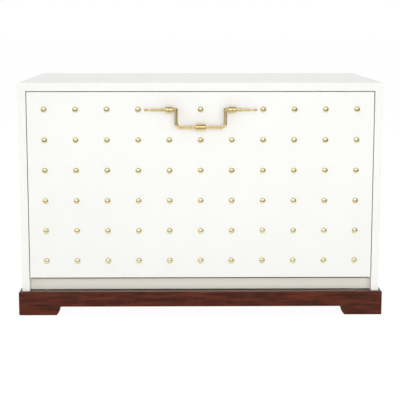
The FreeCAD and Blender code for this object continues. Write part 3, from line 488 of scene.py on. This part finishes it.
# The hinge leaves in near-black brass, as painted shade.
shaded_hinge_brass = brushed_brass("hinge_leaf_brass_painted_shade", HINGE_BRASS_PAINTED_SHADE, HINGE_BRASS_PAINTED_SHADE_DEEP)
dress(shaded_hinge_brass, "fall_hinge_leaf", "case_hinge_leaf")


# Steel: the hinge pin, the strike plates let into the fall and the cases of the magnets, all zinc plated.
# Bright zinc has a cool grey shine with a faint cloudy bloom.

ZINC, ZINC_BLOOM = "#BFC3C6", "#A2A7AB"

zinc = finish(
    "bright_zinc_plate",
    ZINC,
    [((9, 9, 9), 4, 0, 0.4, 0.7, 1.0, ZINC_BLOOM)],
    (0, 0.38, 0.5),
    (0, 0.01, 0.2),
    {"Metallic": 1.0},
)
dress(zinc, "hinge_pin", "strike_plates", "magnetic_catches")


# Screws: countersunk wood screws, of steel in the back, the cleats and the strike plates, and of brass in
# what is brass. Each head is driven to just proud of its bed, with the driver's tapered recess in it.

# A head in radii: along its screw from the face that it is let into, and out from its middle.
SCREW_OUTLINE = (
    (-0.33, 0.0),
    (-0.33, 0.67),
    (0.0, 1.0),
    (0.04, 0.86),
    (0.06, 0.46),
    (0.06, 0.38),
    (-0.2, 0.14),
    (-0.2, 0.0),
)
LARGE_SCREW, SMALL_SCREW = 3.6 * MM, 2.4 * MM
SCREW_AROUND = 20
SCREW_INSET = 9 * MM
BACK_SCREWS_ACROSS, BACK_SCREWS_UP = 7, 5
CLEAT_SCREWS, CLEAT_INSET = 4, 34 * MM
STRIKE_HALF, STRIKE_SCREW_X = 15 * MM, 11 * MM
PLATE_MIDDLE, PLATE_SCREW_Z = 10 * MM, 16 * MM
EAR_THICKNESS, EAR_INSET = 2.5 * MM, 6 * MM
LEAF_SCREWS, LEAF_INSET, LEAF_HALF, LEAF_MARGIN = 12, 22 * MM, 1 * MM, 7.2 * MM


def turned(outline, centre, axis, closed=False, around=24):
    """A lathe surface: the point (a, r) of the outline at angle u lies at centre + a axis + r (cos u, sin u)
    across it. An open outline starts and ends on the axis, and a closed one is a ring with a bore."""
    outline = np.array(outline, float)
    along = np.eye(3)[axis]
    first, second = np.eye(3)[(axis + 1) % 3], np.eye(3)[(axis + 2) % 3]
    angle = (np.arange(around) + 0.5) * 2 * math.pi / around
    spoke = np.cos(angle)[:, None] * first + np.sin(angle)[:, None] * second
    points = np.array(centre) + outline[:, None, :1] * along + outline[:, None, 1:] * spoke[None]
    return points.reshape(-1, 3), grid_faces(len(outline), around, wrap_rows=closed)


def repeated(surface, places):
    """One surface set down at many places."""
    points, faces = surface
    places = np.array(places)
    copies = points[None] + places[:, None, :]
    faces = faces[None] + (np.arange(len(places)) * len(points))[:, None, None]
    return copies.reshape(-1, 3), faces.reshape(-1, 4)


def make_piece(name, surfaces, *fixing):
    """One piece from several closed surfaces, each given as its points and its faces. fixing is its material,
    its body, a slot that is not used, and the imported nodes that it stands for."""
    starts = np.cumsum([0] + [len(points) for points, faces in surfaces])
    points = np.concatenate([points for points, faces in surfaces])
    faces = np.concatenate([faces + start for (_, faces), start in zip(surfaces, starts)])
    return place_piece(name, welded(name, points, faces), *fixing)


def screw_heads(radius, axis, way, places):
    """Screw heads set down at many places: the outline, scaled to the radius and turned about an axis, facing
    along it where way is 1 and against it where way is -1."""
    outline = np.array(SCREW_OUTLINE) * radius * [way, 1]
    return repeated(turned(outline, (0, 0, 0), axis, around=SCREW_AROUND), places)


back_low, back_high = box_of("back_panel")
across = np.linspace(back_low[X] + SCREW_INSET, back_high[X] - SCREW_INSET, BACK_SCREWS_ACROSS)
up = np.linspace(back_low[Z] + SCREW_INSET, back_high[Z] - SCREW_INSET, BACK_SCREWS_UP)
in_back = [(x, back_high[Y], z) for x in across for z in (up[0], up[-1])]
in_back += [(x, back_high[Y], z) for x in (across[0], across[-1]) for z in up[1:-1]]
make_piece("back_screws", [screw_heads(LARGE_SCREW, Y, 1, in_back)], zinc, "case", "plated_steel")

in_cleats, in_guides, in_stays = [], [], []
for name, side in (("left", -1), ("right", 1)):
    low, high = box_of(f"{name}_shelf_cleat")
    face = side * min(abs(low[X]), abs(high[X]))
    along = np.linspace(low[Y] + CLEAT_INSET, high[Y] - CLEAT_INSET, CLEAT_SCREWS)
    places = [(face, y, (low[Z] + high[Z]) / 2) for y in along]
    in_cleats.append(screw_heads(LARGE_SCREW, X, -side, places))
    low, high = box_of(f"{name}_stay_guide")
    face = side * (max(abs(low[X]), abs(high[X])) - EAR_THICKNESS)
    places = [(face, (low[Y] + high[Y]) / 2, z) for z in (low[Z] + EAR_INSET, high[Z] - EAR_INSET)]
    in_guides.append(screw_heads(SMALL_SCREW, X, -side, places))
    plate_x = side * (min(abs(edge[X]) for edge in box_of(f"{name}_stay")) + PLATE_MIDDLE)
    plate_z = (low[Z] + high[Z]) / 2
    in_stays += [(plate_x, fall_box[1][Y], plate_z + z) for z in (-PLATE_SCREW_Z, PLATE_SCREW_Z)]
make_piece("cleat_screws", in_cleats, zinc, "case", "plated_steel")
make_piece("guide_screws", in_guides, sheet_brass, "case", "hinge_brass")
make_piece("stay_screws", [screw_heads(SMALL_SCREW, Y, 1, in_stays)], sheet_brass, "fall", "hinge_brass")

strike_low, strike_high = box_of("strike_plates")
in_strikes = [
    (side * (strike_high[X] - STRIKE_HALF) + x, strike_high[Y], (strike_low[Z] + strike_high[Z]) / 2)
    for side in (-1, 1)
    for x in (-STRIKE_SCREW_X, STRIKE_SCREW_X)
]
make_piece("strike_screws", [screw_heads(SMALL_SCREW, Y, 1, in_strikes)], zinc, "fall", "plated_steel")

for body, way in (("case", 1), ("fall", -1)):
    low, high = box_of(f"{body}_hinge_leaf")
    edge = high[Y] if way > 0 else low[Y]
    along = np.linspace(low[X] + LEAF_INSET, high[X] - LEAF_INSET, LEAF_SCREWS)
    places = [(x, edge - way * LEAF_MARGIN, (low[Z] + high[Z]) / 2 + way * LEAF_HALF) for x in along]
    heads = screw_heads(SMALL_SCREW, Z, way, places)
    make_piece(f"{body}_leaf_screws", [heads], shaded_hinge_brass, body, "hinge_brass")


# Nails: round domed heads of pale antique brass, 11 to a row in 6 rows, driven into the fall. Each is cast
# with a short upright rim and a low dome, and stands a little out of true. Antique brass is a pale, soft
# mirror, mottled in small clouds.

STUD_COLUMNS, STUD_ROWS = 11, 6
STUD_SEAT, STUD_RADIUS, STUD_RIM = 7.2 * MM, 7.6 * MM, 0.5 * MM
STUD_AROUND, STUD_RINGS = 24, 7
STUD_TILT, STUD_SEED = math.radians(2.0), 7
STUD_BRASS, STUD_BRASS_TONED = "#F0E6C0", "#D9C994"

case_front = fall_box[0][Y]


def stud_heads():
    """All heads at once: with t from 0 at the rim to 1 at the crown, a dome's radius is R cos(90 t) and its
    height is the rim plus (rise - rim) sin(90 t), about each place of the rows and columns."""
    low, high = box_of("front_studs")
    rise = case_front - low[Y]
    t = np.linspace(0, 1, STUD_RINGS) * math.pi / 2
    radius = np.concatenate([[0, 1, 1], np.cos(t[1:])]) * STUD_RADIUS
    height = np.concatenate([[0, 0, STUD_RIM], STUD_RIM + (rise - STUD_RIM) * np.sin(t[1:])])
    head = turned(np.stack([-height, radius], axis=-1), (0, 0, 0), Y, around=STUD_AROUND)
    x = np.linspace(low[X] + STUD_SEAT, high[X] - STUD_SEAT, STUD_COLUMNS)
    z = np.linspace(high[Z] - STUD_SEAT, low[Z] + STUD_SEAT, STUD_ROWS)
    column, row = np.meshgrid(np.arange(STUD_COLUMNS), np.arange(STUD_ROWS))
    posts = (row == 0) & (abs(column - STUD_COLUMNS // 2) == 1)
    places = np.stack([x[column[~posts]], np.full((~posts).sum(), case_front), z[row[~posts]]], axis=-1)
    lean = np.random.default_rng(STUD_SEED).normal(0, STUD_TILT, (len(places), 2))
    points, faces = repeated(head, places)
    points = points.reshape(len(places), -1, 3)
    points[:, :, [X, Z]] += (points[:, :, [Y]] - case_front) * lean[:, None, :]
    return points.reshape(-1, 3), faces


antique_brass = finish(
    "pale_antique_brass",
    STUD_BRASS,
    [
        ((7, 7, 7), 4, 0, 0.4, 0.7, 1.0, STUD_BRASS_TONED),
        ((3.5, 3.5, 3.5), 2, 3, 0.5, 0.9, 0.3, STUD_BRASS_TONED),
    ],
    (0, 0.12, 0.2),
    (1, 0.12, 0.35),
    {"Metallic": 1.0},
)
make_piece("domed_nails", [stud_heads()], antique_brass, "fall", "stud_brass", "front_studs")


# Handle posts: turned brass, each with a two-bead collar that the spindle runs in, a neck that flares out to
# the fall, and a threaded shank through the panel to a nut inside. Polished brass is a warm mirror, toned in
# soft clouds, and its polishing marks are drawn coarser than real ones.

BRASS, BRASS_TONED, BRASS_DEEP = "#EBD7A0", "#DCC287", "#A98A52"
AROUND = 56
EASE_MOST = 0.45
BORE = 3.05 * MM
GROOVE_DEPTH, GROOVE_HALF = 1.5 * MM, 0.5 * MM
BEAD_SHOULDER = 0.5 * MM
COLLAR_DRAWN_IN, COLLAR_EASE = 0.5 * MM, 0.25 * MM
NECK_START, NECK_RADIUS = 3 * MM, 4.6 * MM
FLARE_START, FLARE_END, FLARE_RADIUS = 4 * MM, 1.2 * MM, 6.6 * MM
SHANK_RADIUS, STEM_EASE = 3.0 * MM, 0.6 * MM

post_low, post_high = box_of("right_handle_post")
collar_half = (post_high[X] - post_low[X]) / 2 - COLLAR_DRAWN_IN
post_x = (post_high[X] + post_low[X]) / 2
collar_radius = (post_high[Z] - post_low[Z]) / 2
handle_z = (post_high[Z] + post_low[Z]) / 2
handle_y = post_low[Y] + collar_radius


def eased(corners, radius, closed=False, steps=5):
    """An outline with each corner drawn as the curve (1-t)^2 A + 2t(1-t) P + t^2 B, where A and B lie up to
    radius from the corner P, along its two sides."""
    corners = np.array(corners, float)
    before, after = np.roll(corners, 1, axis=0), np.roll(corners, -1, axis=0)
    reach_before = np.linalg.norm(before - corners, axis=1, keepdims=True)
    reach_after = np.linalg.norm(after - corners, axis=1, keepdims=True)
    start = corners + (before - corners) * np.minimum(EASE_MOST, radius / reach_before)
    end = corners + (after - corners) * np.minimum(EASE_MOST, radius / reach_after)
    t = np.linspace(0, 1, steps)[None, :, None]
    curves = (1 - t) ** 2 * start[:, None] + 2 * t * (1 - t) * corners[:, None] + t ** 2 * end[:, None]
    if closed:
        return curves.reshape(-1, 2)
    return np.concatenate([corners[:1], curves[1:-1].reshape(-1, 2), corners[-1:]])


brass = finish(
    "polished_cast_brass",
    BRASS,
    [
        ((11, 11, 11), 4, 0, 0.35, 0.65, 1.0, BRASS_TONED),
        ((6, 6, 6), 3, 7, 0.6, 0.8, 0.5, BRASS_DEEP),
        (grain(Z, 1.6, 12), 3, 2, 0.5, 0.9, 0.2, BRASS_DEEP),
    ],
    (2, 0.09, 0.15),
    (2, 0.02, 0.25),
    {"Metallic": 1.0},
)


def post_surfaces(side):
    """The collar as a ring about x, and the stem as a solid of revolution about y."""
    centre = np.array([side * post_x, handle_y, handle_z])
    half, full, groove = collar_half, collar_radius, collar_radius - GROOVE_DEPTH
    quarter = [
        (half, BORE),
        (half, full - BEAD_SHOULDER),
        (half - BEAD_SHOULDER, full),
        (GROOVE_HALF + BEAD_SHOULDER, full),
        (GROOVE_HALF, groove),
    ]
    collar = [(-a, r) for a, r in quarter] + quarter[::-1]
    face, end = case_front - handle_y, post_high[Y] - handle_y
    stem = [
        (full - NECK_START, 0),
        (full - NECK_START, NECK_RADIUS),
        (face - FLARE_START, NECK_RADIUS),
        (face - FLARE_END, FLARE_RADIUS),
        (face, FLARE_RADIUS),
        (face, SHANK_RADIUS),
        (end, SHANK_RADIUS),
        (end, 0),
    ]
    return [
        turned(eased(collar, COLLAR_EASE, closed=True, steps=3), centre, X, closed=True, around=AROUND),
        turned(eased(stem, STEM_EASE), centre, Y, around=AROUND),
    ]


for name, side in (("left", -1), ("right", 1)):
    post, node = f"{name}_turned_post", f"{name}_handle_post"
    make_piece(post, post_surfaces(side), brass, "fall", "handle_brass", node)
dress(brass, "handle_nuts")


# Bail: an eight-sided brass bar, bent twice while hot, with a bead ring at each bend and the head of each
# arm drilled for its spindle, which is riveted over on the inside and pinned from the front.

BAR_CENTRE_IN, BAR_RADIUS = 4.2 * MM, 3.9 * MM
BAR_FLAT, BAR_SIDE_FLAT, BAR_EASE = 1.1 * MM, 2.1 * MM, 0.3 * MM
BEND, BEND_STEPS = 10.5 * MM, 14
CHAMFER, CHAMFER_SHARE = 0.7 * MM, 0.84
RING_BORE, RING_RADIUS, RING_HALF = 3 * MM, 4.9 * MM, 1.1 * MM
RING_EDGE_IN, RING_CROWN, RING_EASE = 0.4 * MM, 0.2 * MM, 0.8 * MM
DOME_FOOT, DOME_STEPS = 0.5 * MM, 6
RIVET_RADIUS, RIVET_RISE = 2.7 * MM, 1.2 * MM
PIN_RADIUS, PIN_RISE = 1.5 * MM, 0.5 * MM

bail_low, bail_high = box_of("bail")
arm_x = bail_high[X] - BAR_CENTRE_IN
arm_top = bail_high[Z] - handle_z
bar_drop = handle_z - bail_low[Z] - BAR_CENTRE_IN


def bail_surface():
    """The eased octagon carried along the bail's middle line, which is straight runs joined by two quarter
    turns, with each end drawn in to a chamfer."""
    turn = np.linspace(0, math.pi / 2, BEND_STEPS)
    bend = np.stack([-np.cos(turn), -np.sin(turn)], axis=-1) * BEND
    left = bend + [-arm_x + BEND, BEND - bar_drop]
    right = left[::-1] * [-1, 1]
    heads = np.array([[arm_x, arm_top], [arm_x, arm_top], [arm_x, arm_top - CHAMFER]])
    line = np.concatenate([heads * [-1, 1], left, right, heads[::-1]])
    down, up = np.tile([0, -1], (len(heads), 1)), np.tile([0, 1], (len(heads), 1))
    heading_left = np.stack([np.sin(turn), -np.cos(turn)], axis=-1)
    heading = np.concatenate([down, heading_left, heading_left[::-1] * [1, -1], up])
    scale = np.ones(len(line))
    scale[[0, -1]] = 0
    scale[[1, -2]] = CHAMFER_SHARE
    quarter = np.array([(BAR_RADIUS, BAR_SIDE_FLAT), (BAR_FLAT, BAR_RADIUS)])
    half = np.concatenate([quarter, quarter[::-1] * [-1, 1]])
    section = eased(np.concatenate([half, -half]), BAR_EASE, closed=True, steps=3)
    across = np.stack([-heading[:, 1], heading[:, 0]], axis=-1)
    offset = section[None] * scale[:, None, None]
    x = line[:, None, 0] + across[:, None, 0] * offset[..., 0]
    z = line[:, None, 1] + across[:, None, 1] * offset[..., 0]
    points = np.stack([x, handle_y + offset[..., 1], handle_z + z], axis=-1)
    return points.reshape(-1, 3), grid_faces(len(line), len(section))


def bail_ring(side):
    """A bead round the bar where its bend ends."""
    outline = [
        (-RING_HALF, RING_BORE),
        (-RING_HALF, RING_RADIUS - RING_EDGE_IN),
        (0, RING_RADIUS + RING_CROWN),
        (RING_HALF, RING_RADIUS - RING_EDGE_IN),
        (RING_HALF, RING_BORE),
    ]
    centre = (side * (arm_x - BEND), handle_y, handle_z - bar_drop)
    return turned(eased(outline, RING_EASE, closed=True), centre, X, closed=True, around=AROUND)


def domed_end(radius, rise, centre, axis, way):
    """A low dome on a short foot: with t from 0 to 1 its radius is R cos(90 t), its height rise sin(90 t)."""
    t = np.linspace(0, math.pi / 2, DOME_STEPS)
    dome = np.stack([way * rise * np.sin(t), radius * np.cos(t)], axis=-1)
    outline = np.concatenate([[[-way * DOME_FOOT, 0], [-way * DOME_FOOT, radius]], dome])
    outline[-1, 1] = 0
    return turned(outline, centre, axis)


bail_parts = [bail_surface()]
for side in (-1, 1):
    inner_face, front_face = side * (arm_x - BAR_RADIUS), handle_y - BAR_RADIUS
    bail_parts += [
        bail_ring(side),
        domed_end(RIVET_RADIUS, RIVET_RISE, (inner_face, handle_y, handle_z), X, -side),
        domed_end(PIN_RADIUS, PIN_RISE, (side * arm_x, front_face, handle_z), Y, -1),
    ]
make_piece("bail_bar", bail_parts, brass, "handle", "handle_brass", "bail")


# Grip: a brass drum on the middle of the bar, slid on before the bar was bent, with a flange at each end and
# three shallow beads between.

GRIP_BORE, GRIP_END, GRIP_END_RADIUS, GRIP_END_BEVEL = 3.7 * MM, 1.2 * MM, 5.8 * MM, 0.4 * MM
FLANGE, FLANGE_GROOVE, FLANGE_GROOVE_DEPTH = 2.0 * MM, 0.9 * MM, 1.2 * MM
FLANGE_SLOPE, FLANGE_BEVEL, FLANGE_BEVEL_DEPTH = 0.2 * MM, 0.3 * MM, 0.5 * MM
GRIP_BEADS, BEAD_STEPS, BEAD_FULLNESS = 3, 16, 0.35
BEAD_DEPTH, BEAD_SUNK, BEAD_END_SLOPE = 0.8 * MM, 0.3 * MM, 0.1 * MM

grip_low, grip_high = box_of("grip_collar")
grip_half = (grip_high[X] - grip_low[X]) / 2
grip_radius = (grip_high[Z] - grip_low[Z]) / 2


def grip_outline():
    """The drum's profile: a plain end, a flange and a groove, three arches r = R - g (1 - |sin|^fullness),
    and the same again the other way round."""
    flange_start, flange_end = grip_half - GRIP_END, grip_half - GRIP_END - FLANGE
    inner = flange_end - FLANGE_GROOVE
    along = np.linspace(-inner, inner, BEAD_STEPS * GRIP_BEADS + 1)
    arch = np.abs(np.sin((along + inner) / (2 * inner) * GRIP_BEADS * math.pi)) ** BEAD_FULLNESS
    beads = np.stack([along, grip_radius - BEAD_SUNK - BEAD_DEPTH * (1 - arch)], axis=-1)
    last = [
        (inner + BEAD_END_SLOPE, grip_radius - FLANGE_GROOVE_DEPTH),
        (flange_end, grip_radius - FLANGE_GROOVE_DEPTH),
        (flange_end + FLANGE_SLOPE, grip_radius),
        (flange_start - FLANGE_BEVEL, grip_radius),
        (flange_start, grip_radius - FLANGE_BEVEL_DEPTH),
        (flange_start, GRIP_END_RADIUS),
        (grip_half, GRIP_END_RADIUS - GRIP_END_BEVEL),
        (grip_half, GRIP_BORE),
    ]
    return np.concatenate([[(-a, r) for a, r in last[::-1]], beads, last])


grip_centre = (0, handle_y, handle_z - bar_drop)
grip = turned(grip_outline(), grip_centre, X, closed=True, around=AROUND)
make_piece("grip_beads", [grip], brass, "handle", "handle_brass", "grip_collar")


# Spindles: turned rods that run from the arms through the collars and out to a finial at each side, with a
# boss against the arm, a ring beyond the collar, and a flared finial of two beads on a thin neck.

# The profile in mm, out from the rod's middle, and along it from the arm, from the collar's two ends and, for
# the finial, back from its tip.
FROM_ARM = ((1, 0), (1, 4.4), (3.6, 4.8))
FROM_COLLAR = ((-0.4, 6.4), (-0.4, 3.0))
BEYOND_COLLAR = ((0.4, 3.0), (0.4, 4.4), (1.6, 3.5), (4.6, 3.4), (5.2, 3.9), (11.4, 3.9), (12.0, 3.2))
FINIAL_NECK = ((-17.5, 2.8), (-16.0, 1.3), (-14.4, 1.3), (-8.0, 2.7))
FINIAL_BEADS = ((-7.4, 3.6), (-5.8, 3.6), (-5.0, 2.9), (-4.0, 2.9), (-3.2, 3.7), (-1.2, 3.7))
FINIAL_TIP = ((0, 2.2), (0, 0))
SPINDLE_EASE, SPINDLE_AROUND = 0.8 * MM, 40

spindle_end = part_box("right_spindle")[1][X]


def spindle_surface(side):
    """The spindle's profile, from the arm of the bail outwards, turned about x."""
    runs = (
        (arm_x, FROM_ARM),
        (post_x - collar_half, FROM_COLLAR),
        (post_x + collar_half, BEYOND_COLLAR),
        (spindle_end, FINIAL_NECK + FINIAL_BEADS + FINIAL_TIP),
    )
    corners = [(start + a * MM, r * MM) for start, run in runs for a, r in run]
    outline = eased(corners, SPINDLE_EASE) * [side, 1]
    return turned(outline, (0, handle_y, handle_z), X, around=SPINDLE_AROUND)


for name, side in (("left", -1), ("right", 1)):
    spindle, node = f"{name}_turned_spindle", f"{name}_spindle"
    make_piece(spindle, [spindle_surface(side)], brass, "handle", "handle_brass", node)
